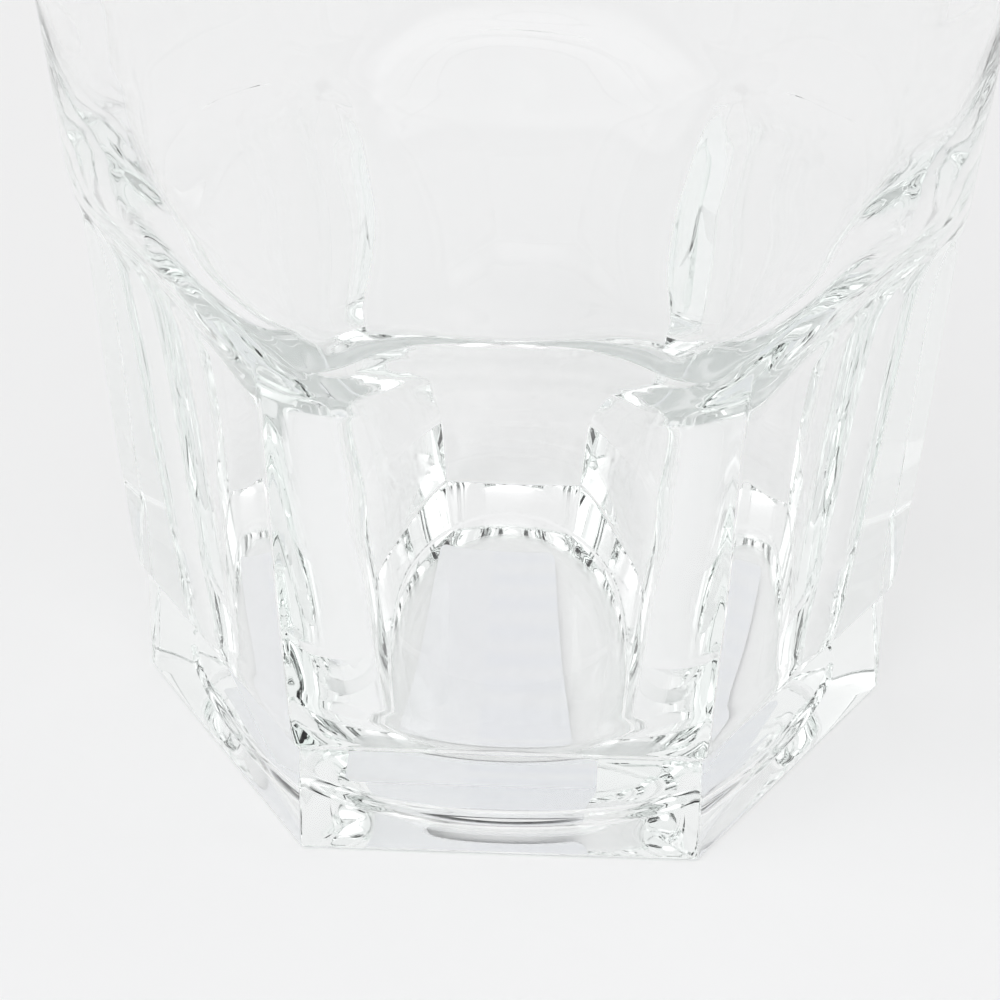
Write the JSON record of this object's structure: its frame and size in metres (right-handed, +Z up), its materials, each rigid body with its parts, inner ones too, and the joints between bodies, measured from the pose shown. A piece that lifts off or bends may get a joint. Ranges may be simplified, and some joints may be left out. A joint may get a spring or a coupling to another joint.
{
  "type": "whiskey tumbler",
  "caption": "Clear pressed-glass whiskey tumbler with a hexagonal faceted lower body, heavy foot, round flared bowl and a blank paper label under the base.",
  "frame": {"origin": "centre of the underside of the foot, on the surface the tumbler stands on", "axes": "+Z up along the axis of the tumbler, out of its mouth; one flat facet faces -Y, with foot corners on +X and -X"},
  "size_m": [0.08, 0.08, 0.1],
  "materials": {
    "clear_glass": "gloss",
    "label_paper": "matte"
  },
  "bodies": {
    "root": {"glass_body": "clear_glass", "base_label": "label_paper"}
  },
  "joints": []
}
